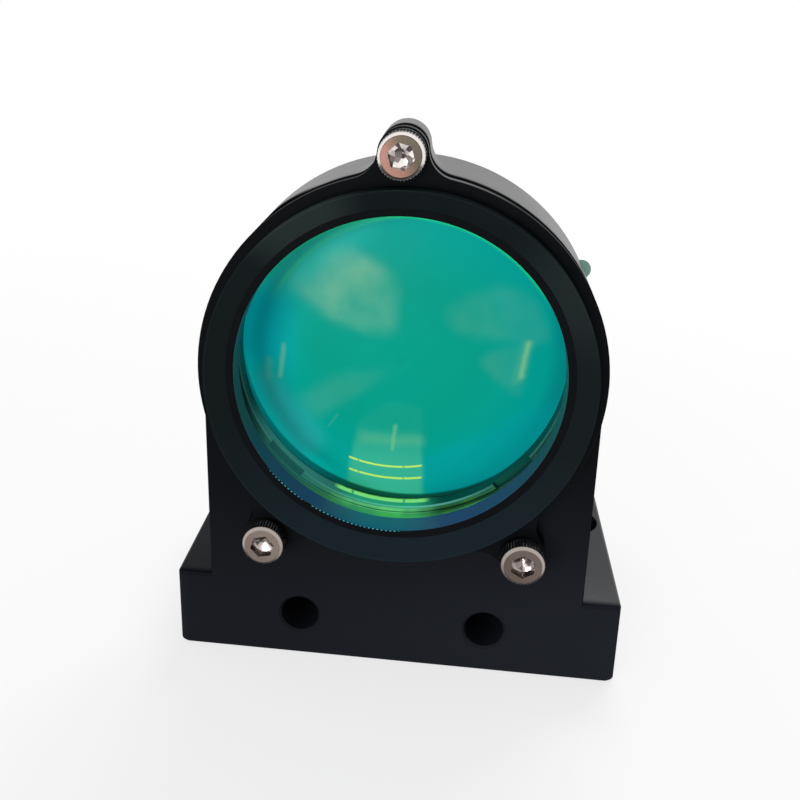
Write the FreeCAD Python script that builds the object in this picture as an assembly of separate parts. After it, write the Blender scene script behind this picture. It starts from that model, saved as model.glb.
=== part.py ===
import FreeCAD, Part
import math
import os

# Laser collimating lens in a black mounting block.
# The lens axis runs front to back above a flat foot. A cover on three cap screws closes the round
# housing, and a cell inside it holds two lenses between soft rings under a threaded ring.
# Sizes are in millimetres. X runs to the right as seen from the front, Y to the back and Z up.
# The origin is the centre of the foot's flat underside.
# Depth is measured backwards from the face that the cover is screwed to.

# Lenses, from the front to the back
lens_radius = 19.6
lens_clearance = 0.05
lens_flat = 0.5
lens_bevel = 0.2
front_lens_edge = 1.8
front_lens_front_radius = 90.0
front_lens_rear_radius = 150.0
rear_lens_edge = 2.0
rear_lens_front_radius = 100.0

# Rings that hold the lenses
retaining_ring_thickness = 2.05
retaining_ring_overlap = 0.45
retaining_ring_clearance = 0.05
ring_edge_break = 0.2
notch_count = 4
notch_width = 5.6
notch_depth = 0.8
first_notch_angle = 45.0
cushion_thickness = 0.3
spacer_thickness = 0.8
seat_step = 0.1

# Lens cell
cell_thread_step = 0.35
cell_front_wall = 1.0
cell_rear_wall = 1.2
cell_window_step = 1.5
cell_thread_relief = 0.15
cell_clearance = 0.04
cell_seal_setback = 5.3

# Housing
housing_depth = 14.2
housing_wall = 1.46
rear_wall = 1.0
rear_opening_step = 1.4

# Foot
foot_overhang = 4.5
foot_depth = 34.0
foot_height = 10.3
foot_corner_radius = 1.2
rim_above_foot = 5.6
edge_break = 0.3
front_edge_break = 0.15

# Holes that run through the foot from front to back
cross_hole_radius = 2.35
cross_hole_spacing = 22.6
cross_hole_height = 5.7

# Counterbored holes that run down through the foot behind the upright
foot_hole_radius = 2.25
foot_hole_inset = 4.6
foot_hole_setback = 7.5
counterbore_radius = 4.0
counterbore_drop = 4.4

# Cap screws
screw_radius = 1.5
screw_length = 8.0
screw_hole_clearance = 0.2
thread_clearance = 0.02
tapping_reserve = 2.0
head_radius = 2.45
head_height = 2.0
head_chamfer = 0.4
knurl_count = 44
knurl_depth = 0.1
socket_across_flats = 2.5
socket_depth = 1.2
socket_point = 0.5
socket_turns = {"top": 45.0, "left": 12.0, "right": 29.0}

# Spring lock washers
washer_overhang = 0.05
washer_thickness = 0.7
washer_hole_clearance = 0.05
washer_gap = 0.5
washer_gap_slant = 20.0

# Lugs for the cover screws
top_screw_offset = 2.1
lower_screw_offset = 2.9
lug_margin = 0.15
lug_fillet = 3.2
lug_depth = 5.8
lower_lug_angle = 35.9

# Cover
cover_thickness = 2.5
cover_edge_break = 0.1
neck_inset = 1.2
neck_height = 5.0
neck_land = 0.17
lip_height = 3.2
lip_width = 0.85
bore_step = 1.35
bore_edge_break = 0.12

# Seals
seal_section_radius = 0.4
seal_squeeze = 0.16
seal_side_gap = 0.05

# Protective film on the rear opening
film_overlap = 1.6
film_thickness = 0.1
tab_angle = 23.8
tab_inset = 0.25
tab_radius = 1.17

# Radii that follow from the lens outwards
lens_bore_radius = lens_radius + lens_clearance
lens_curve_radius = lens_radius - lens_flat
seat_inner_radius = lens_curve_radius + seat_step
cell_thread_radius = lens_bore_radius + cell_thread_step
cell_radius = cell_thread_radius + cell_front_wall
cell_bore_radius = cell_radius + cell_clearance
cell_window_radius = lens_radius - cell_window_step
rim_radius = cell_bore_radius + housing_wall
rear_opening_radius = lens_radius - rear_opening_step
film_radius = rear_opening_radius + film_overlap
tab_reach = rim_radius - tab_inset
neck_radius = rim_radius - neck_inset
bore_radius = lens_radius - bore_step
cone_inner_radius = bore_radius + lip_width
washer_radius = head_radius + washer_overhang
lug_radius = washer_radius + lug_margin
top_screw_reach = rim_radius + top_screw_offset
lower_screw_reach = rim_radius + lower_screw_offset

# Places that follow from the sizes above
foot_width = 2.0 * (rim_radius + foot_overhang)
axis_height = foot_height + rim_above_foot + rim_radius
face_y = -foot_depth / 2.0
foot_hole_spacing = foot_width - 2.0 * foot_hole_inset
foot_hole_depth = housing_depth + foot_hole_setback
cell_length = housing_depth - rear_wall
rear_cushion_depth = cell_length - cell_rear_wall - cushion_thickness
rear_lens_depth = rear_cushion_depth - rear_lens_edge
spacer_depth = rear_lens_depth - spacer_thickness
front_lens_depth = spacer_depth - front_lens_edge
front_cushion_depth = front_lens_depth - cushion_thickness
retaining_ring_depth = front_cushion_depth - retaining_ring_thickness
seal_height = 2.0 * seal_section_radius - seal_squeeze
seal_groove_width = 2.0 * (seal_section_radius + seal_side_gap)
cover_seal_radius = (cell_thread_radius + cell_radius) / 2.0
cell_seal_depth = cell_length - cell_seal_setback
head_seat_depth = -cover_thickness - washer_thickness
screw_angles = {"top": 90.0, "left": 270.0 - lower_lug_angle, "right": 270.0 + lower_lug_angle}
screw_reaches = {"top": top_screw_reach, "left": lower_screw_reach, "right": lower_screw_reach}

axis_point = FreeCAD.Vector(0, 0, axis_height)
backwards = FreeCAD.Vector(0, 1, 0)
upwards = FreeCAD.Vector(0, 0, 1)


def polar(radius, angle, depth=0.0):
    """A point at a radius and an angle round the lens axis; 0 degrees is right and 90 is up."""
    turn = math.radians(angle)
    return FreeCAD.Vector(radius * math.cos(turn), face_y + depth, axis_height + radius * math.sin(turn))


def line(start, end):
    return Part.LineSegment(start, end).toShape()


def arc(start, middle, end):
    return Part.Arc(start, middle, end).toShape()


def rod(centre, radius, start, end):
    """A cylinder along the lens axis direction, from one depth to another."""
    foot = FreeCAD.Vector(centre.x, face_y + start, centre.z)
    return Part.makeCylinder(radius, end - start, foot, backwards)


def turned(edges):
    """A solid turned about the lens axis from the edges of a closed half section."""
    face = Part.Face(Part.Wire(Part.__sortEdges__(edges)))
    return face.revolve(axis_point, backwards, 360)


def turned_polygon(points):
    """A solid turned about the lens axis from (radius, depth) corners."""
    corners = [polar(radius, 0.0, depth) for radius, depth in points]
    return turned([line(a, b) for a, b in zip(corners, corners[1:] + corners[:1])])


def turned_ring(inner, outer, start, end):
    return turned_polygon([(inner, start), (outer, start), (outer, end), (inner, end)])


def lug_outline(name):
    """Edges of one screw lug with its two hollow fillets, and the angles where it meets the rim."""
    angle = screw_angles[name]
    screw_reach = screw_reaches[name]
    fillet_centre_radius = rim_radius + lug_fillet
    reach = lug_radius + lug_fillet
    cosine = fillet_centre_radius ** 2 + screw_reach ** 2 - reach ** 2
    cosine = cosine / (2.0 * fillet_centre_radius * screw_reach)
    spread = math.degrees(math.acos(cosine))
    screw = polar(screw_reach, angle)
    tip = polar(screw_reach + lug_radius, angle)
    sides = {}
    for side in (-1, 1):
        centre = polar(fillet_centre_radius, angle + side * spread)
        on_rim = polar(rim_radius, angle + side * spread)
        on_lug = centre + (screw - centre).normalize() * lug_fillet
        middle = centre + ((on_rim - centre) + (on_lug - centre)).normalize() * lug_fillet
        sides[side] = (on_rim, middle, on_lug)
    first, last = sides[-1], sides[1]
    edges = [arc(*first), arc(first[2], tip, last[2]), arc(last[2], last[1], last[0])]
    return edges, angle - spread, angle + spread


def break_edges(shape, depth, size, lowest=-1.0):
    """Bevel the edges that lie in the plane at a depth, above a height."""
    plane_y = face_y + depth
    chosen = []
    for edge in shape.Edges:
        box = edge.BoundBox
        in_plane = abs(box.YMin - plane_y) < 1e-6 and abs(box.YMax - plane_y) < 1e-6
        if in_plane and box.ZMin > lowest:
            chosen.append(edge)
    return shape.makeChamfer(size, chosen)


def screw_centres():
    return {name: polar(screw_reaches[name], angle) for name, angle in screw_angles.items()}


def make_foot():
    """Flat foot with rounded upright corners and bevelled top and bottom edges."""
    corner = FreeCAD.Vector(-foot_width / 2.0, face_y, 0)
    block = Part.makeBox(foot_width, foot_depth, foot_height, corner)
    upright_edges = [e for e in block.Edges if e.BoundBox.ZLength > foot_height / 2.0]
    block = block.makeFillet(foot_corner_radius, upright_edges)
    level_edges = [e for e in block.Edges if e.BoundBox.ZLength < foot_height / 2.0]
    return block.makeChamfer(edge_break, level_edges)


def make_upright():
    """Upright plate that runs up into the round housing."""
    low = foot_height / 2.0
    left_low = FreeCAD.Vector(-rim_radius, face_y, low)
    right_low = FreeCAD.Vector(rim_radius, face_y, low)
    left, top, right = (polar(rim_radius, angle) for angle in (180.0, 90.0, 0.0))
    edges = [line(left_low, right_low), line(right_low, right), arc(right, top, left), line(left, left_low)]
    return Part.Face(Part.Wire(Part.__sortEdges__(edges))).extrude(backwards * housing_depth)


def make_top_lug():
    """Short lug behind the cover's top lug, with a root that reaches into the housing's wall."""
    edges, first, last = lug_outline("top")
    root = polar(cell_bore_radius, screw_angles["top"])
    edges.append(arc(polar(rim_radius, last), root, polar(rim_radius, first)))
    return Part.Face(Part.Wire(Part.__sortEdges__(edges))).extrude(backwards * lug_depth)


def make_holder_body():
    upright = make_upright().fuse(make_top_lug()).removeSplitter()
    low = foot_height / 2.0
    upright = break_edges(upright, 0.0, front_edge_break, low)
    upright = break_edges(upright, housing_depth, edge_break, low)
    body = make_foot().fuse(upright).removeSplitter()
    pocket = turned_polygon([
        (0.0, 0.0), (cell_bore_radius, 0.0), (cell_bore_radius, cell_length),
        (rear_opening_radius, cell_length), (rear_opening_radius, housing_depth), (0.0, housing_depth),
    ])
    cuts = [pocket]
    hole_depth = screw_length - cover_thickness - washer_thickness + tapping_reserve
    for centre in screw_centres().values():
        cuts.append(rod(centre, screw_radius + thread_clearance, 0.0, hole_depth))
    for side in (-0.5, 0.5):
        centre = FreeCAD.Vector(side * cross_hole_spacing, 0, cross_hole_height)
        cuts.append(rod(centre, cross_hole_radius, 0.0, foot_depth))
        for depth, way in ((0.0, 1), (foot_depth, -1)):
            mouth = FreeCAD.Vector(centre.x, face_y + depth, centre.z)
            wide = cross_hole_radius + edge_break
            cuts.append(Part.makeCone(wide, cross_hole_radius, edge_break, mouth, backwards * way))
        down = FreeCAD.Vector(side * foot_hole_spacing, face_y + foot_hole_depth, 0)
        seat = down + upwards * (foot_height - counterbore_drop)
        cuts.append(Part.makeCylinder(foot_hole_radius, foot_height, down, upwards))
        cuts.append(Part.makeCylinder(counterbore_radius, counterbore_drop, seat, upwards))
    return body.cut(cuts)


def make_front_cover():
    """Flange with three lugs and a raised neck that is coned inwards to a lip round the bore."""
    edges = []
    arcs = []
    for name in ("top", "left", "right"):
        lug_edges, first, last = lug_outline(name)
        edges.extend(lug_edges)
        arcs.append((first, last))
    for here, following in zip(arcs, arcs[1:] + [(arcs[0][0] + 360.0, 0.0)]):
        start, end = here[1], following[0]
        middle = polar(rim_radius, (start + end) / 2.0)
        edges.append(arc(polar(rim_radius, start), middle, polar(rim_radius, end)))
    face = Part.Face(Part.Wire(Part.__sortEdges__(edges)))
    flange = face.extrude(backwards * -cover_thickness)
    flange = break_edges(flange, -cover_thickness, cover_edge_break)
    cone_outer_radius = neck_radius - neck_land
    neck = turned_polygon([
        (0.0, -lip_height), (cone_inner_radius, -lip_height), (cone_outer_radius, -neck_height),
        (neck_radius, -neck_height), (neck_radius, -cover_thickness / 2.0), (0.0, -cover_thickness / 2.0),
    ])
    bore = turned_polygon([
        (0.0, -lip_height), (bore_radius + bore_edge_break, -lip_height),
        (bore_radius, bore_edge_break - lip_height), (bore_radius, 0.0), (0.0, 0.0),
    ])
    groove_inner = cover_seal_radius - seal_groove_width / 2.0
    groove = turned_ring(groove_inner, groove_inner + seal_groove_width, -seal_height, 0.0)
    cuts = [bore, groove]
    for centre in screw_centres().values():
        cuts.append(rod(centre, screw_radius + screw_hole_clearance, -cover_thickness, 0.0))
    return flange.fuse(neck).removeSplitter().cut(cuts)


def make_screw(name):
    """Socket head cap screw with a straight knurl, its head towards the front."""
    centre = screw_centres()[name]
    head_front = head_seat_depth - head_height
    knurl_front = head_front + head_chamfer
    points = []
    for step in range(2 * knurl_count):
        turn = math.pi * step / knurl_count
        radius = head_radius if step % 2 == 0 else head_radius - knurl_depth
        across, up = radius * math.cos(turn), radius * math.sin(turn)
        points.append(FreeCAD.Vector(centre.x + across, face_y + knurl_front, centre.z + up))
    knurl_length = head_height - head_chamfer
    knurl = Part.Face(Part.makePolygon(points + points[:1])).extrude(backwards * knurl_length)
    crown_radius = head_radius - knurl_depth / 2.0
    front_point = FreeCAD.Vector(centre.x, face_y + head_front, centre.z)
    crown = Part.makeCone(head_radius - head_chamfer, crown_radius, head_chamfer, front_point, backwards)
    shank = rod(centre, screw_radius, head_seat_depth, head_seat_depth + screw_length)
    across_corners = socket_across_flats / math.sqrt(3.0)
    corners = []
    for step in range(6):
        turn = math.radians(socket_turns[name] + 60.0 * step)
        across, up = across_corners * math.cos(turn), across_corners * math.sin(turn)
        corners.append(FreeCAD.Vector(centre.x + across, face_y + head_front, centre.z + up))
    socket = Part.Face(Part.makePolygon(corners + corners[:1])).extrude(backwards * socket_depth)
    floor_point = front_point + backwards * socket_depth
    point = Part.makeCone(socket_across_flats / 2.0, 0.0, socket_point, floor_point, backwards)
    return knurl.fuse([crown, shank]).removeSplitter().cut([socket, point])


def make_lock_washer(name):
    """Spring lock washer, cut through at a slant."""
    centre = screw_centres()[name]
    ring = rod(centre, washer_radius, head_seat_depth, -cover_thickness)
    hole = rod(centre, screw_radius + washer_hole_clearance, head_seat_depth, -cover_thickness)
    slit_front = face_y + head_seat_depth - washer_thickness
    corner = FreeCAD.Vector(centre.x, slit_front, centre.z - washer_gap / 2.0)
    slit = Part.makeBox(2.0 * washer_radius, 3.0 * washer_thickness, washer_gap, corner)
    middle = FreeCAD.Vector(centre.x, face_y + head_seat_depth + washer_thickness / 2.0, centre.z)
    slit.rotate(middle, FreeCAD.Vector(1, 0, 0), washer_gap_slant)
    slit.rotate(middle, backwards, -screw_angles[name] - 180.0)
    return ring.cut([hole, slit])


def make_lens_cell():
    """Barrel with a thread bore in front, a lens bore behind it and a seal groove outside."""
    groove_start = cell_seal_depth - seal_groove_width / 2.0
    groove_end = groove_start + seal_groove_width
    groove_radius = cell_bore_radius - seal_height
    window_depth = cell_length - cell_rear_wall
    thread_end = front_cushion_depth + cell_thread_relief
    return turned_polygon([
        (cell_thread_radius, 0.0), (cell_radius, 0.0), (cell_radius, groove_start),
        (groove_radius, groove_start), (groove_radius, groove_end),
        (cell_radius, groove_end), (cell_radius, cell_length),
        (cell_window_radius, cell_length), (cell_window_radius, window_depth),
        (lens_bore_radius, window_depth), (lens_bore_radius, thread_end),
        (cell_thread_radius, thread_end),
    ])


def make_retaining_ring():
    """Threaded ring with spanner notches in its front face."""
    start = retaining_ring_depth
    end = start + retaining_ring_thickness
    inner = lens_radius - retaining_ring_overlap
    outer = cell_thread_radius - retaining_ring_clearance
    ring = turned_polygon([
        (inner, start + ring_edge_break), (inner + ring_edge_break, start),
        (outer - ring_edge_break, start), (outer, start + ring_edge_break), (outer, end), (inner, end),
    ])
    cuts = []
    for step in range(notch_count):
        angle = first_notch_angle + 360.0 * step / notch_count
        corner = FreeCAD.Vector(0, face_y + start - notch_depth, axis_height - notch_width / 2.0)
        notch = Part.makeBox(2.0 * outer, 2.0 * notch_depth, notch_width, corner)
        notch.rotate(axis_point, backwards, -angle)
        cuts.append(notch)
    return ring.cut(cuts)


def rise(sphere_radius, reach):
    """How far a spherical face stands out at a distance from the axis, above its flat edge."""
    height_at_edge = math.sqrt(sphere_radius ** 2 - lens_curve_radius ** 2)
    return math.sqrt(sphere_radius ** 2 - reach ** 2) - height_at_edge


def make_lens(start, edge, front_radius, rear_radius=None):
    """A lens with a flat edge, a convex front face and a flat or hollow rear face."""
    end = start + edge
    half_way = lens_curve_radius / 2.0
    front_middle = polar(0.0, 0.0, start - rise(front_radius, 0.0))
    front_half_way = polar(half_way, 0.0, start - rise(front_radius, half_way))
    edges = [
        arc(front_middle, front_half_way, polar(lens_curve_radius, 0.0, start)),
        line(polar(lens_curve_radius, 0.0, start), polar(lens_radius - lens_bevel, 0.0, start)),
        line(polar(lens_radius - lens_bevel, 0.0, start), polar(lens_radius, 0.0, start + lens_bevel)),
        line(polar(lens_radius, 0.0, start + lens_bevel), polar(lens_radius, 0.0, end - lens_bevel)),
        line(polar(lens_radius, 0.0, end - lens_bevel), polar(lens_radius - lens_bevel, 0.0, end)),
        line(polar(lens_radius - lens_bevel, 0.0, end), polar(lens_curve_radius, 0.0, end)),
    ]
    rear_rim = polar(lens_curve_radius, 0.0, end)
    if rear_radius is None:
        rear_middle = polar(0.0, 0.0, end)
        edges.append(line(rear_rim, rear_middle))
    else:
        rear_middle = polar(0.0, 0.0, end - rise(rear_radius, 0.0))
        edges.append(arc(rear_rim, polar(half_way, 0.0, end - rise(rear_radius, half_way)), rear_middle))
    edges.append(line(rear_middle, front_middle))
    return turned(edges)


def squeezed_seal(radius, depth, flat_across):
    """A round section seal at a radius and depth, pressed flat on two sides."""
    section = Part.makeTorus(radius, seal_section_radius, polar(0.0, 0.0, depth), backwards)
    half = seal_height / 2.0
    across = half if flat_across else seal_section_radius
    along = seal_section_radius if flat_across else half
    return section.common(turned_ring(radius - across, radius + across, depth - along, depth + along))


def make_rear_film():
    """Thin round film with a narrow strip that ends in a round pull tab."""
    start = housing_depth
    sheet = rod(axis_point, film_radius, start, start + film_thickness)
    tab_centre = polar(tab_reach, tab_angle)
    tab = rod(tab_centre, tab_radius, start, start + film_thickness)
    corner = FreeCAD.Vector(0, face_y + start, axis_height - tab_radius)
    strip = Part.makeBox(tab_reach, film_thickness, 2.0 * tab_radius, corner)
    strip.rotate(axis_point, backwards, -tab_angle)
    return sheet.fuse([strip, tab]).removeSplitter()


def make_all():
    front_radii = (front_lens_front_radius, front_lens_rear_radius)
    pieces = {
        "holder_body": make_holder_body(),
        "front_cover": make_front_cover(),
        "lens_cell": make_lens_cell(),
        "lens_retaining_ring": make_retaining_ring(),
        "front_lens": make_lens(front_lens_depth, front_lens_edge, *front_radii),
        "rear_lens": make_lens(rear_lens_depth, rear_lens_edge, rear_lens_front_radius),
        "rear_film": make_rear_film(),
    }
    for name, start, end in (
        ("front_cushion_ring", front_cushion_depth, front_lens_depth),
        ("lens_spacer_ring", spacer_depth, rear_lens_depth),
        ("rear_cushion_ring", rear_cushion_depth, rear_cushion_depth + cushion_thickness),
    ):
        pieces[name] = turned_ring(seat_inner_radius, lens_radius, start, end)
    pieces["cover_seal_ring"] = squeezed_seal(cover_seal_radius, -seal_height / 2.0, False)
    cell_seal_radius = cell_bore_radius - seal_height / 2.0
    pieces["cell_seal_ring"] = squeezed_seal(cell_seal_radius, cell_seal_depth, True)
    for name in screw_angles:
        pieces[name + "_screw"] = make_screw(name)
        pieces[name + "_lock_washer"] = make_lock_washer(name)
    return pieces


os.makedirs("parts", exist_ok=True)
for node, shape in make_all().items():
    solids = shape.Solids
    print(node, "valid", shape.isValid(), "solids", len(solids), "volume", round(shape.Volume, 2))
    piece = solids[0] if len(solids) == 1 else shape
    piece.exportStep("parts/" + node + ".step")
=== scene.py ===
import math

import bpy
from mathutils import Euler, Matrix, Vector

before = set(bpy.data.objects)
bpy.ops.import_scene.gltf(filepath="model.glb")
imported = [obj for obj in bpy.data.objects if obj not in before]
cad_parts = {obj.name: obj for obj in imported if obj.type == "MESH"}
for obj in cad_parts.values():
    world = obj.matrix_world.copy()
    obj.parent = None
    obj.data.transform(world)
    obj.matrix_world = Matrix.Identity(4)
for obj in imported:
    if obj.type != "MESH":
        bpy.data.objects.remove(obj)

# Looks of a laser collimating lens in a black mounting block.
# Lengths in the shaders are in millimetres, and everything else is in metres.
MILLIMETRES_IN_METRE = 1000.0

# The lens axis runs along Y at this height. Depth counts backwards from the face that the cover is screwed to.
AXIS_HEIGHT = 38.4
COVER_SEAT = -17.0

# Radii round the lens axis: the cover's bore, the inner edge of its cone, just outside its neck, just inside
# its rim, and the clamping ring's hole
BORE_EDGE = 18.25
CONE_INNER = 19.1
NECK_EDGE = 21.4
RIM_EDGE = 22.25
RING_INNER = 19.15

# Depths: the lip round the cover's bore, the clamping ring's face, and on a screw the head's face, the front end
# of its knurl and a place behind the bottom of its socket
LIP_FACE = -3.2
RING_FACE = 4.75
HEAD_FACE = -5.2
KNURL_FRONT = -4.8
SOCKET_END = -3.3

# Places of the screws' centres
TOP_SCREW_HEIGHT = 63.0
LOWER_SCREW_HEIGHT = 17.825
LOWER_SCREW_ACROSS = 14.894

# Angles round the lens axis in radians, with 0 at the right and the lowest point at -pi / 2: the short stretch
# where the rings mirror a lamp, and the fainter stretch to the left of it
LAMP_START, LAMP_END = -1.97, -1.38
LEFT_START, LEFT_END = -2.60, -1.95

NO_LIGHT = (0.0, 0.0, 0.0)

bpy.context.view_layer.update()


class Value:
    """A number inside a finish, so that its maths is written as an expression."""

    def __init__(self, finish, socket):
        self.finish = finish
        self.socket = socket

    def maths(self, operation, *numbers):
        made = self.finish.add("ShaderNodeMath", {"operation": operation}, dict(enumerate(numbers)))
        return Value(self.finish, made.outputs[0])

    def __add__(self, other):
        return self.maths("ADD", self, other)

    def __radd__(self, other):
        return self.maths("ADD", other, self)

    def __sub__(self, other):
        return self.maths("SUBTRACT", self, other)

    def __rsub__(self, other):
        return self.maths("SUBTRACT", other, self)

    def __mul__(self, other):
        return self.maths("MULTIPLY", self, other)

    def __rmul__(self, other):
        return self.maths("MULTIPLY", other, self)

    def root(self):
        return self.maths("SQRT", self)

    def size(self):
        return self.maths("ABSOLUTE", self)

    def most(self, other):
        return self.maths("MAXIMUM", self, other)

    def wave(self):
        return self.maths("SINE", self)

    def angle_from(self, across):
        """The angle in radians of a point this far up and that far across."""
        return self.maths("ARCTAN2", self, across)

    def step(self, low, high):
        """0 below low and 1 above high, with a soft change between. It falls instead if low is the higher."""
        if low > high:
            return 1.0 - self.step(high, low)
        settings = {"interpolation_type": "SMOOTHSTEP"}
        inputs = {"Value": self, "From Min": low, "From Max": high}
        made = self.finish.add("ShaderNodeMapRange", settings, inputs)
        return Value(self.finish, made.outputs[0])

    def band(self, low, high, soft):
        """1 between low and high and 0 outside, with soft edges."""
        return self.step(low - soft, low + soft) * self.step(high + soft, high - soft)


class Finish:
    """A procedural material. Places are read in millimetres on the object, so a pattern stays on its piece."""

    def __init__(self, name):
        self.material = bpy.data.materials.new(name)
        self.material.use_nodes = True
        self.tree = self.material.node_tree
        self.tree.nodes.clear()
        here = self.add("ShaderNodeTexCoord").outputs["Object"]
        self.place = self.vector("SCALE", here, Scale=MILLIMETRES_IN_METRE)
        self.x, self.y, self.z = self.parts(self.place)

    def add(self, kind, settings=None, inputs=None):
        """Any node: its settings first, then the values or links of its sockets."""
        made = self.tree.nodes.new(kind)
        for key, value in (settings or {}).items():
            setattr(made, key, value)
        for key, value in (inputs or {}).items():
            value = value.socket if isinstance(value, Value) else value
            if isinstance(value, bpy.types.NodeSocket):
                self.tree.links.new(value, made.inputs[key])
            else:
                made.inputs[key].default_value = value
        return made

    def vector(self, operation, *vectors, **more):
        inputs = {**dict(enumerate(vectors)), **more}
        return self.add("ShaderNodeVectorMath", {"operation": operation}, inputs).outputs[0]

    def parts(self, vector):
        """The three numbers of a vector or a colour."""
        made = self.add("ShaderNodeSeparateXYZ", {}, {0: vector})
        return [Value(self, socket) for socket in made.outputs]

    def round_axis(self):
        """Distance from the lens axis, angle round it in radians with 0 at the right, and depth."""
        up = self.z - AXIS_HEIGHT
        radius = (self.x * self.x + up * up).root()
        return radius, up.angle_from(self.x), self.y - COVER_SEAT

    def facing(self):
        """1 on faces that look forwards, and 1 on faces that stand along the lens axis, such as the rim."""
        backwards = self.parts(self.add("ShaderNodeNewGeometry").outputs["Normal"])[1]
        return backwards.step(-0.4, -0.85), backwards.size().step(0.75, 0.35)

    def noise_node(self, settings, **inputs):
        return self.add("ShaderNodeTexNoise", settings, inputs)

    def noise(self, scale, detail=2.0, stretch=None):
        """Soft noise from 0 to 1, with scale in cells for each millimetre."""
        place = self.vector("MULTIPLY", self.place, stretch) if stretch else self.place
        return Value(self, self.noise_node({}, Vector=place, Scale=scale, Detail=detail).outputs[0])

    def noise_along(self, value, scale):
        """Noise that changes along one value only, which gives parallel lines."""
        made = self.noise_node({"noise_dimensions": "1D"}, W=value, Scale=scale, Detail=3.0)
        return Value(self, made.outputs[0])

    def mix(self, share, first, second):
        """A colour between two, by a share from 0 to 1."""
        first = (*first, 1.0) if isinstance(first, tuple) else first
        second = (*second, 1.0) if isinstance(second, tuple) else second
        settings = {"data_type": "RGBA", "clamp_factor": True}
        return self.add("ShaderNodeMix", settings, {0: share, 6: first, 7: second}).outputs[2]

    def bump(self, height, depth, after=None):
        """Raises the surface by height times depth in millimetres."""
        inputs = {"Height": height * (depth / MILLIMETRES_IN_METRE), "Distance": 1.0, "Strength": 1.0}
        if after is not None:
            inputs["Normal"] = after
        return self.add("ShaderNodeBump", {}, inputs).outputs[0]

    def surface(self, **sockets):
        """The shader itself. A name such as base_color stands for the socket Base Color."""
        words = {"specular_ior_level": "Specular IOR Level"}
        inputs = {words.get(name, name.replace("_", " ").title()): value for name, value in sockets.items()}
        shader = self.add("ShaderNodeBsdfPrincipled", {}, inputs)
        self.add("ShaderNodeOutputMaterial", {}, {"Surface": shader.outputs[0]})
        return self.material


def milled_black():
    """Black anodised aluminium, milled and lightly blasted, with painted light that makes it a little greyer
    towards the foot.
    """
    made = Finish("milled_black_anodised")
    _, angle, depth = made.round_axis()
    front, side = made.facing()
    grain = made.noise(9.0, 3.0)
    cloud = made.noise(0.12, 3.0)
    passes = made.noise(1.4, stretch=(0.12, 1.0, 1.0))
    # Painted light: the colour turns greyer towards the foot, and more so on its right side.
    low = made.z.step(34.0, 0.0)
    right = made.x.step(-26.0, 26.0)
    colour = made.mix(low * (0.62 + 0.38 * right), (0.0020, 0.0024, 0.0034), (0.0125, 0.0145, 0.0195))
    colour = made.mix(0.2 * cloud, colour, (0.0060, 0.0070, 0.0090))

    # Painted shade in the sheen: from this angle on, the further left a place on the round wall is, the further
    # back its sheen starts
    shade_angle, millimetres_per_radian = 1.955, 23.0
    lit_from = ((angle - shade_angle) * millimetres_per_radian).most(0.0) * angle.step(1.8, 1.95)
    dusk = (depth - lit_from).step(-1.6, 2.2)
    gloss = side * depth.step(0.4, 1.7) * dusk * (0.58 + 0.12 * cloud)
    # Painted shade: the wall's sheen is weaker on the foot, and weakest on its left side.
    foot_sheen_shade = made.z.step(18.0, 16.0) * (0.35 + 0.35 * made.x.step(-5.0, -20.0))
    gloss = gloss * (1.0 - foot_sheen_shade)
    return made.surface(
        base_color=colour,
        roughness=0.35 + 0.10 * cloud,
        specular_ior_level=0.0,
        coat_weight=(0.02 + 0.05 * front) * (1.0 - side) + gloss,
        coat_roughness=0.20,
        normal=made.bump(passes, 0.0010, made.bump(grain, 0.0012)),
    )


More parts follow.
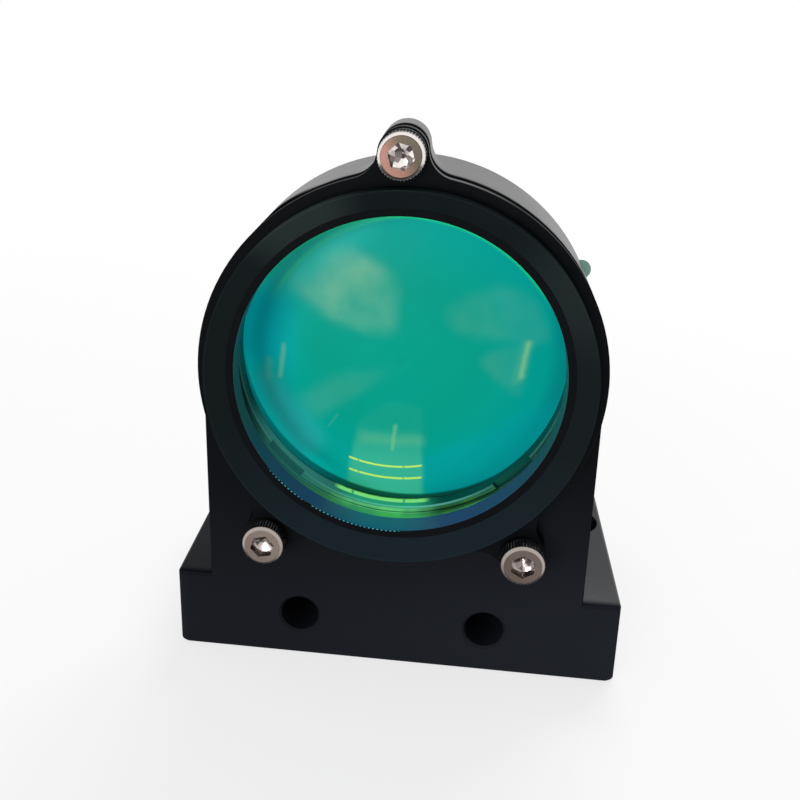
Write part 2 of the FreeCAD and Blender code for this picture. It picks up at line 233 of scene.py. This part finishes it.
def cover_black():
    """Black anodised cover with fine lathe rings; painted reflections make the cone teal, the smooth bore blue,
    the tool marks bright.
    """
    made = Finish("turned_cover_black")
    radius, angle, depth = made.round_axis()
    front, side = made.facing()
    rings = made.noise_along(radius + 0.7 * depth, 11.0)
    cloud = made.noise(0.16, 3.0)
    grain = made.noise(12.0)
    low = (made.z - AXIS_HEIGHT).step(-4.0, -20.0)
    colour = made.mix(cloud, (0.0026, 0.0032, 0.0042), (0.0050, 0.0058, 0.0070))

    # Painted reflection: the cone is teal, lighter lower down, with lighter and darker sectors round it.
    cone = radius.band(CONE_INNER, NECK_EDGE, 0.03) * depth.step(LIP_FACE + 0.2, LIP_FACE)
    teal = made.mix(low, (0.0078, 0.0115, 0.0125), (0.0098, 0.0175, 0.0225))
    colour = made.mix(cone * (0.7 + 0.3 * cloud), colour, teal)
    sheen = angle.band(1.85, 2.35, 0.15) + 0.5 * angle.band(0.3, 0.8, 0.2)
    sheen = sheen - 0.6 * angle.band(2.55, 3.14, 0.15)
    colour = made.mix(cone * sheen, colour, (0.0200, 0.0280, 0.0280))

    # Painted reflection of the lens: the smooth bore is blue, lighter and bluer at the bottom.
    bored = radius.step(BORE_EDGE + 0.03, BORE_EDGE + 0.01) * depth.step(LIP_FACE + 0.08, LIP_FACE + 0.16)
    wall = made.mix(low, (0.05, 0.09, 0.10), (0.09, 0.12, 0.34))
    wall = made.mix(angle.band(-1.90, -1.40, 0.2), wall, (0.04, 0.24, 0.44))
    colour = made.mix(bored, colour, wall)

    # Dotted tool marks along the bore's edge, painted bright teal as a reflection.
    teeth = (angle * 230.0).wave().step(-0.2, 0.6) * made.noise(0.5, 1.0).step(0.3, 0.5)
    line = radius.band(BORE_EDGE + 0.03, BORE_EDGE + 0.11, 0.01) * depth.step(LIP_FACE + 0.3, LIP_FACE + 0.2)
    line = line * angle.band(-2.45, -1.50, 0.05) * teeth
    colour = made.mix(line, colour, (0.05, 0.42, 0.50))

    # Painted highlight: the coat on the rim is strong only in a line just behind its front edge, most near the
    # top.
    rim = side * radius.step(RIM_EDGE - 0.05, RIM_EDGE + 0.05)
    gloss = (0.02 + 0.03 * front) * (1.0 - rim)
    gloss = gloss + rim * depth.band(-2.1, -1.1, 0.3) * (0.13 + 0.35 * angle.band(1.15, 1.5, 0.2))
    return made.surface(
        base_color=colour,
        metallic=0.6 * bored,
        roughness=0.35 - 0.12 * bored,
        specular_ior_level=0.0,
        coat_weight=gloss * (1.0 - bored),
        coat_roughness=0.18,
        normal=made.bump(rings, 0.0008, made.bump(grain, 0.0005)),
    )


def inner_black(name):
    """Black anodised cell and clamping ring. What they mirror, a lamp and the green lens, is painted on as colour
    and own light.
    """
    made = Finish(name)
    radius, angle, depth = made.round_axis()
    rings = made.noise_along(radius + 0.7 * depth, 9.0)
    cloud = made.noise(0.16, 3.0)
    low = (made.z - AXIS_HEIGHT).step(-6.0, -18.5)

    # Outside the ring's hole lie the ring's face and, in front of it, the cell's wall
    outside = radius.step(RING_INNER + 0.15, RING_INNER + 0.30) * depth.step(RING_FACE + 0.25, RING_FACE + 0.05)
    face = outside * depth.step(RING_FACE - 0.25, RING_FACE - 0.10)
    cell_wall = outside * depth.step(RING_FACE - 0.10, RING_FACE - 0.25)
    wall = radius.step(RING_INNER + 0.20, RING_INNER + 0.05)
    bevel = radius.band(RING_INNER + 0.02, RING_INNER + 0.22, 0.02)
    bevel = bevel * depth.step(RING_FACE + 0.30, RING_FACE + 0.15)

    # Painted reflections of the lens and a lamp: teal, greener and lighter lower down, lighter outside the ring's
    # hole, with the lamp's glint on the face and the bevel.
    lamp = angle.band(-2.0, -1.15, 0.35)
    colour = made.mix(low, (0.003, 0.050, 0.048), (0.004, 0.110, 0.080))
    colour = made.mix(outside, colour, made.mix(low, (0.02, 0.10, 0.10), (0.07, 0.30, 0.17)))
    colour = made.mix(outside * lamp * cloud.step(0.35, 0.55), colour, (0.20, 0.60, 0.12))
    colour = made.mix(bevel, colour, made.mix(lamp, (0.03, 0.16, 0.13), (0.16, 0.66, 0.52)))

    left = angle.band(LEFT_START, LEFT_END, 0.25)
    under = angle.band(LAMP_START + 0.04, LAMP_END, 0.12)
    face = face * (0.55 + 0.45 * cloud.step(0.3, 0.6))
    shine = made.mix(left * (1.0 - outside), NO_LIGHT, (0.009, 0.060, 0.058))
    for share, light in (
        (wall * left, (0.024, 0.130, 0.115)),
        (wall * under, (0.016, 0.260, 0.130)),
        (face * left, (0.012, 0.100, 0.095)),
        (face * under, (0.085, 0.400, 0.170)),
        (cell_wall * left, (0.006, 0.020, 0.025)),
        (cell_wall * under, (0.012, 0.110, 0.055)),
    ):
        shine = made.mix(share, shine, light)
    glow = wall * depth.step(RING_FACE + 1.0, RING_FACE + 1.25) * angle.band(LAMP_START, LAMP_END, 0.03)
    breaks = angle.band(-1.870, -1.855, 0.004) + angle.band(-1.532, -1.517, 0.004)
    shine = made.mix(glow * (0.8 + 0.2 * cloud) * (1.0 - 0.8 * breaks), shine, (0.200, 0.720, 0.180))
    return made.surface(
        base_color=colour,
        metallic=0.5 * outside,
        roughness=0.16 + 0.08 * cloud + 0.05 * rings,
        specular_ior_level=0.10,
        emission_color=shine,
        emission_strength=1.0,
        normal=made.bump(rings, 0.0010),
    )


def coated_lens():
    """Polished glass under a green coating that turns bluer towards the edge.

    The pale patches and the bright lines are mirror images of a room and its lamp, painted on the glass. The
    corners of a patch are places across and up from the lens axis.
    """
    made = Finish("coated_glass")
    radius = made.round_axis()[0]
    across = made.x
    up = made.z - AXIS_HEIGHT
    cloud = made.noise(0.10)
    wisp = made.noise(0.22, 3.0)
    drift_size = 1.5
    drift = made.noise_node({}, Vector=made.place, Scale=0.16, Detail=3.0).outputs["Color"]
    drift = made.vector("ADD", made.place, made.vector("SCALE", drift, Scale=drift_size))

    def distance_from(x_centre, z_centre):
        dx, dz = across - x_centre, up - z_centre
        return (dx * dx + dz * dz).root()

    def patch(corners, soft):
        """1 inside a straight sided patch, given by its corners anticlockwise, and 0 outside."""
        share = 1.0
        for (x_here, z_here), (x_next, z_next) in zip(corners, corners[1:] + corners[:1]):
            length = math.hypot(x_next - x_here, z_next - z_here)
            inward = (-(z_next - z_here) / length, 0.0, (x_next - x_here) / length)
            dot = made.add("ShaderNodeVectorMath", {"operation": "DOT_PRODUCT"}, {0: drift, 1: inward})
            offset = x_here * inward[0] + (z_here + AXIS_HEIGHT) * inward[2]
            offset = offset + 0.5 * drift_size * (inward[0] + inward[2])
            share = Value(made, dot.outputs["Value"]).step(offset - soft, offset + soft) * share
        return share

    def lamp_arc(distance, reach, half_width):
        """A thin bright arc at one distance from its centre, below the axis, with two short breaks."""
        line = (distance - reach).size().step(half_width, 0.2 * half_width) * up.step(0.0, -1.0)
        breaks = across.band(-4.95, -4.75, 0.05) + across.band(0.60, 0.80, 0.05)
        return line * across.band(-6.0, 2.9, 0.12) * (1.0 - 0.7 * breaks)

    # The coating, from the middle outwards: bluer at the edge, painted lighter there and on the left, where the
    # bore shades the glass, and darker at the far right
    edge = (radius + 3.0 * (cloud - 0.5)).step(7.5, 19.5)
    colour = made.mix(edge, (0.0004, 0.322, 0.234), (0.0008, 0.425, 0.380))
    far_left = radius.step(16.4, 18.8) * across.step(-4.0, -13.0)
    colour = made.mix(far_left, colour, (0.0008, 0.980, 0.880))
    far_right = radius.step(16.6, 18.6) * across.step(-2.0, 4.0)
    colour = made.mix(0.8 * far_right, colour, (0.0008, 0.300, 0.300))
    left = across.step(-11.0, -17.5) * up.band(-2.0, 9.0, 3.0)
    colour = made.mix(0.85 * left, colour, (0.0006, 0.480, 0.580))
    low_left = patch([(-12.5, -15.5), (-9.0, -11.5), (-15.5, -3.0), (-19.0, -3.0)], 1.6)
    colour = made.mix(0.6 * low_left, colour, (0.030, 0.450, 0.470))
    low_right = patch([(10.0, -18.0), (19.0, -8.0), (17.5, -5.0), (2.5, -13.5), (2.5, -18.5)], 1.4)
    colour = made.mix(0.7 * low_right, colour, (0.0010, 0.390, 0.400))

    # Painted reflections of the room as pale clouds, each with its soft edge, its least share and what the wisps
    # add
    upper_left = [
        (-14.3, 8.4), (-10.0, 5.4), (-7.2, 3.5), (-0.9, 2.9),
        (-0.6, 9.2), (-4.2, 12.2), (-8.4, 13.2), (-11.5, 12.0),
    ]
    right = [
        (5.0, 5.5), (7.1, 3.0), (11.2, 2.2), (16.6, 2.4),
        (15.8, 6.0), (13.5, 8.2), (10.4, 8.7), (5.9, 7.2),
    ]
    lower_right = [(9.2, 0.0), (10.9, -2.6), (13.8, -4.4), (14.3, -2.4), (13.9, 1.9), (10.6, 1.4)]
    lower_left = [(-12.2, -6.0), (-10.4, -9.6), (-7.5, -7.2), (-4.3, -5.2), (-1.0, -2.1), (-6.1, -1.8)]
    for corners, soft, least, added in (
        (upper_left, 1.3, 0.06, 0.66),
        (right, 1.1, 0.03, 0.26),
        (lower_right, 0.8, 0.02, 0.16),
        (lower_left, 1.3, 0.02, 0.22),
    ):
        colour = made.mix(patch(corners, soft) * (least + added * wisp * wisp), colour, (0.26, 0.56, 0.36))
    # Painted highlight: a brighter patch inside the upper left cloud.
    painted_highlight = patch([(-9.5, 7.0), (-3.0, 6.6), (-2.6, 9.6), (-5.5, 11.5), (-9.5, 10.0)], 1.6)
    colour = made.mix(painted_highlight * 0.26 * wisp, colour, (0.40, 0.60, 0.30))

    # The lamp's own images: a column at the bottom, short glints and two arcs
    column = patch([(-6.6, -18.6), (3.0, -18.6), (2.7, -6.2), (-1.0, -5.6), (-5.2, -8.5)], 0.45)
    colour = made.mix(column * (0.03 + 0.30 * up.step(-8.0, -15.0)), colour, (0.14, 0.72, 0.36))
    # Painted reflection: a faint streak of the lamp across the column.
    lamp_streak = patch([(-4.9, -11.0), (3.1, -11.2), (3.1, -10.0), (-4.9, -9.8)], 0.8)
    colour = made.mix(0.12 * lamp_streak, colour, (0.40, 0.75, 0.25))
    for corners, soft, share in (
        ([(-14.85, -3.6), (-14.45, -3.6), (-13.9, 0.8), (-14.3, 0.8)], 0.4, 0.36),
        ([(-16.5, -4.2), (-15.9, -4.2), (-15.8, -1.2), (-16.4, -1.2)], 0.6, 0.16),
        ([(12.9, -2.9), (13.9, -2.6), (15.0, 2.4), (13.9, 2.4)], 0.6, 0.15),
        ([(13.5, -2.2), (13.9, -2.2), (14.8, 2.4), (14.3, 2.4)], 0.35, 0.5),
        ([(-0.75, -12.1), (-0.35, -12.1), (-0.05, -8.5), (-0.45, -8.5)], 0.2, 0.26),
        ([(-8.8, -9.6), (-8.6, -9.7), (-7.2, -7.9), (-7.4, -7.8)], 0.1, 0.07),
    ):
        colour = made.mix(share * patch(corners, soft), colour, (0.34, 0.74, 0.30))
    for distance, reach, half_width in (
        (distance_from(-0.59, 1.48), 15.97, 0.2),
        (distance_from(-0.45, 1.43), 17.60, 0.22),
    ):
        colour = made.mix(lamp_arc(distance, reach, half_width), colour, (0.66, 1.0, 0.14))

    # Painted shade in the dark crescent at the bottom, painted light that lifts the shade on the upper left, and
    # the edges that show at the upper left and along the top
    crescent = distance_from(0.80, 1.68).step(19.9, 20.3) * up.step(4.0, 0.0)
    colour = made.mix(0.93 * crescent, colour, (0.003, 0.075, 0.055))
    shadow_side = across.step(-1.0, -9.0) * up.step(5.0, 10.0) * radius.step(13.0, 16.0)
    colour = made.mix(0.8 * shadow_side, colour, (0.030, 0.620, 0.500))
    rear_edge = (distance_from(0.82, -1.61) - 18.0).size().step(0.40, 0.10)
    rear_edge = rear_edge * up.step(6.0, 9.0) * across.step(1.0, -3.0)
    colour = made.mix(0.4 * rear_edge, colour, (0.05, 0.75, 0.38))
    top_line = distance_from(-0.52, -3.21).step(19.2, 19.6) * up.step(5.0, 10.0)
    colour = made.mix(0.8 * top_line, colour, (0.02, 0.75, 0.28))
    return made.surface(
        base_color=colour,
        roughness=0.34 + 0.08 * cloud + 0.2 * radius.step(5.0, 2.0),
        specular_ior_level=0.03,
        # Painted light: the far left of the lens glows a little.
        emission_color=made.mix(far_left, NO_LIGHT, (0.0, 0.095, 0.100)),
        emission_strength=1.0,
    )


def green_film():
    """Thin soft green protective film."""
    made = Finish("green_film")
    cloud = made.noise(0.3, 3.0)
    return made.surface(
        base_color=made.mix(cloud.step(0.3, 0.7), (0.30, 0.55, 0.46), (0.34, 0.60, 0.51)),
        roughness=0.4 + 0.1 * cloud,
        specular_ior_level=0.2,
        normal=made.bump(cloud, 0.02),
    )


def stainless_steel(name, x_centre, z_centre, warm_reflection, cool_reflection, painted_highlight):
    """Turned stainless steel with knurled flanks; painted light gives a warmer side, a bright bevel and socket
    facets, dark flanks.
    """
    made = Finish(name)
    cloud = made.noise(0.5, 3.0)
    grain = made.noise(14.0)
    across, up = made.x - x_centre, made.z - z_centre
    radius = (across * across + up * up).root()
    depth = made.y - COVER_SEAT
    # Painted light on the head: a warm and a cool side, a bright bevel, bright facets in the socket, and dark
    # knurl flanks with lighter teeth.
    side = (across * 0.8 + up * 0.6 + 0.8 * (cloud - 0.5)).step(-1.6, 1.2)
    flank = depth.step(KNURL_FRONT - 0.05, KNURL_FRONT + 0.05) * radius.step(1.9, 2.0)
    bevel = radius.step(2.08, 2.14) * depth.step(KNURL_FRONT + 0.05, KNURL_FRONT - 0.05)
    socket = radius.step(1.50, 1.30) * depth.band(HEAD_FACE + 0.07, SOCKET_END, 0.04)
    cells = made.add("ShaderNodeTexVoronoi", {}, {"Vector": made.place, "Scale": 1.7}).outputs["Color"]
    facet = made.parts(cells)[0].step(0.25, 0.85)
    teeth = (up.angle_from(across) * 44.0).wave().step(0.3, 0.9) * cloud.step(0.45, 0.6)
    colour = made.mix(side, warm_reflection, cool_reflection)
    colour = made.mix(bevel, colour, painted_highlight)
    colour = made.mix(socket, colour, made.mix(facet, (0.10, 0.08, 0.08), painted_highlight))
    colour = made.mix(flank, colour, made.mix(teeth, (0.020, 0.022, 0.026), (0.30, 0.32, 0.33)))
    return made.surface(
        base_color=colour,
        metallic=1.0 - 0.5 * flank,
        roughness=0.22 + 0.12 * grain + 0.10 * flank,
        specular_ior_level=0.2,
        normal=made.bump(grain, 0.0015),
    )


def dark_spring_steel():
    """Blackened spring steel, rolled."""
    made = Finish("dark_spring_steel")
    grain = made.noise(10.0, 3.0)
    return made.surface(
        base_color=made.mix(grain.step(0.4, 0.7), (0.004, 0.004, 0.005), (0.010, 0.010, 0.011)),
        metallic=0.4,
        roughness=0.35 + 0.2 * grain,
        specular_ior_level=0.1,
        normal=made.bump(grain, 0.003),
    )


def soft_ring(name, first, second, roughness):
    """Moulded seal or cushion ring with a dull fine grain."""
    made = Finish(name)
    grain = made.noise(6.0, 3.0)
    return made.surface(
        base_color=made.mix(grain, first, second),
        roughness=roughness + 0.1 * grain,
        normal=made.bump(grain, 0.003),
    )


def front_cushion():
    """Thin clear ring before the lens, dark green from the glass behind it and painted bright where a lamp shines
    in.
    """
    made = Finish("front_cushion_ring")
    angle = made.round_axis()[1]
    grain = made.noise(1.2)
    lamp = angle.band(LAMP_START - 0.01, LAMP_END + 0.01, 0.04) * grain.step(0.25, 0.45)
    return made.surface(
        base_color=made.mix(lamp, (0.003, 0.060, 0.050), (0.30, 0.95, 0.06)),
        roughness=0.3 + 0.1 * grain,
        normal=made.bump(grain, 0.003),
    )


def dress(material, *names):
    """Gives each named piece of the frame its finish."""
    for name in names:
        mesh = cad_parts[name].data
        mesh.materials.clear()
        mesh.materials.append(material)


def make_camera():
    """The photograph's camera, fitted to the part."""
    data = bpy.data.cameras.new("camera")
    data.lens = 46.08530529
    data.sensor_width = 36.0
    data.shift_x = 0.16329040
    data.shift_y = -0.02103589
    data.clip_start = 0.005
    data.clip_end = 20.0
    camera = bpy.data.objects.new("camera", data)
    camera.location = (0.00634315, -0.12594776, 0.07735315)
    turns = [math.radians(degrees) for degrees in (69.72585809, 0.88285013, 10.5974342)]
    camera.rotation_euler = Euler(turns, "XYZ")
    bpy.context.scene.collection.objects.link(camera)
    bpy.context.scene.camera = camera


def make_lamp(name, place, target, width, height, power):
    """A soft rectangular lamp that faces a point."""
    data = bpy.data.lights.new(name, "AREA")
    data.shape = "RECTANGLE"
    data.size = width
    data.size_y = height
    data.energy = power
    lamp = bpy.data.objects.new(name, data)
    lamp.location = place
    aim = Vector(target) - Vector(place)
    lamp.rotation_euler = aim.to_track_quat("-Z", "Y").to_euler()
    bpy.context.scene.collection.objects.link(lamp)


def make_world():
    """A plain white surround. It is seen at full white and lights the object more softly."""
    world = bpy.data.worlds.new("surround")
    world.use_nodes = True
    tree = world.node_tree
    tree.nodes.clear()
    path = tree.nodes.new("ShaderNodeLightPath").outputs
    seen = path["Is Camera Ray"]
    for kind in ("Is Glossy Ray", "Is Transmission Ray"):
        either = tree.nodes.new("ShaderNodeMath")
        either.operation = "MAXIMUM"
        tree.links.new(seen, either.inputs[0])
        tree.links.new(path[kind], either.inputs[1])
        seen = either.outputs[0]
    strength = tree.nodes.new("ShaderNodeMapRange")
    strength.inputs["To Min"].default_value = 0.55
    strength.inputs["To Max"].default_value = 1.0
    tree.links.new(seen, strength.inputs["Value"])
    back = tree.nodes.new("ShaderNodeBackground")
    back.inputs["Color"].default_value = (1.0, 1.0, 1.0, 1.0)
    tree.links.new(strength.outputs[0], back.inputs["Strength"])
    out = tree.nodes.new("ShaderNodeOutputWorld")
    tree.links.new(back.outputs[0], out.inputs["Surface"])
    bpy.context.scene.world = world


def make_floor():
    """A wide pale floor that keeps the object's soft shadow and fades into the white surround."""
    reach = 3.0
    corners = [(-reach, -reach, 0.0), (reach, -reach, 0.0), (reach, reach, 0.0), (-reach, reach, 0.0)]
    mesh = bpy.data.meshes.new("floor")
    mesh.from_pydata(corners, [], [(0, 1, 2, 3)])
    floor = bpy.data.objects.new("floor", mesh)
    bpy.context.scene.collection.objects.link(floor)
    made = Finish("pale_floor")
    distance = (made.x * made.x + made.y * made.y).root()
    path = made.add("ShaderNodeLightPath").outputs
    seen = Value(made, path["Is Camera Ray"]).most(Value(made, path["Is Glossy Ray"]))
    seen = seen.most(Value(made, path["Is Transmission Ray"]))
    white = made.add("ShaderNodeEmission", {}, {"Color": (1.0, 1.0, 1.0, 1.0), "Strength": 1.0})
    paper = made.add("ShaderNodeBsdfDiffuse", {}, {"Color": (0.9, 0.9, 0.9, 1.0)})
    share = seen * (0.72 + 0.28 * distance.step(90.0, 320.0))
    mixed = made.add("ShaderNodeMixShader", {}, {0: share, 1: paper.outputs[0], 2: white.outputs[0]})
    made.add("ShaderNodeOutputMaterial", {}, {"Surface": mixed.outputs[0]})
    mesh.materials.append(made.material)


dress(milled_black(), "holder_body")
dress(cover_black(), "front_cover")
dress(inner_black("turned_cell_black"), "lens_cell", "lens_retaining_ring")
dress(coated_lens(), "front_lens", "rear_lens")
dress(green_film(), "rear_film")
# Each screw's centre, then its painted reflections on the warm and the cool side and its painted highlight
for name, *looks in (
    ("top_screw", 0.0, TOP_SCREW_HEIGHT, (0.22, 0.117, 0.095), (0.078, 0.066, 0.050), (0.86, 0.80, 0.77)),
    (
        "left_screw", -LOWER_SCREW_ACROSS, LOWER_SCREW_HEIGHT,
        (0.22, 0.17, 0.145), (0.25, 0.20, 0.17), (0.42, 0.37, 0.34),
    ),
    (
        "right_screw", LOWER_SCREW_ACROSS, LOWER_SCREW_HEIGHT,
        (0.14, 0.105, 0.09), (0.16, 0.125, 0.11), (0.42, 0.37, 0.34),
    ),
):
    dress(stainless_steel("steel_of_" + name, *looks), name)
dress(dark_spring_steel(), "top_lock_washer", "left_lock_washer", "right_lock_washer")
dress(
    soft_ring("seal_rubber", (0.012, 0.012, 0.013), (0.022, 0.022, 0.023), 0.6),
    "cover_seal_ring", "cell_seal_ring",
)
dress(
    soft_ring("white_cushion", (0.72, 0.72, 0.70), (0.80, 0.80, 0.78), 0.45),
    "rear_cushion_ring", "lens_spacer_ring",
)
dress(front_cushion(), "front_cushion_ring")

make_camera()
make_world()
make_floor()
make_lamp("key_lamp", place=(-0.24, -0.76, 0.13), target=(0.0, 0.0, 0.04), width=0.4, height=0.2, power=3.6)
make_lamp("back_lamp", place=(0.15, 0.45, 0.50), target=(0.0, 0.0, 0.05), width=0.4, height=0.25, power=2.5)

bpy.context.scene.view_settings.view_transform = "Standard"
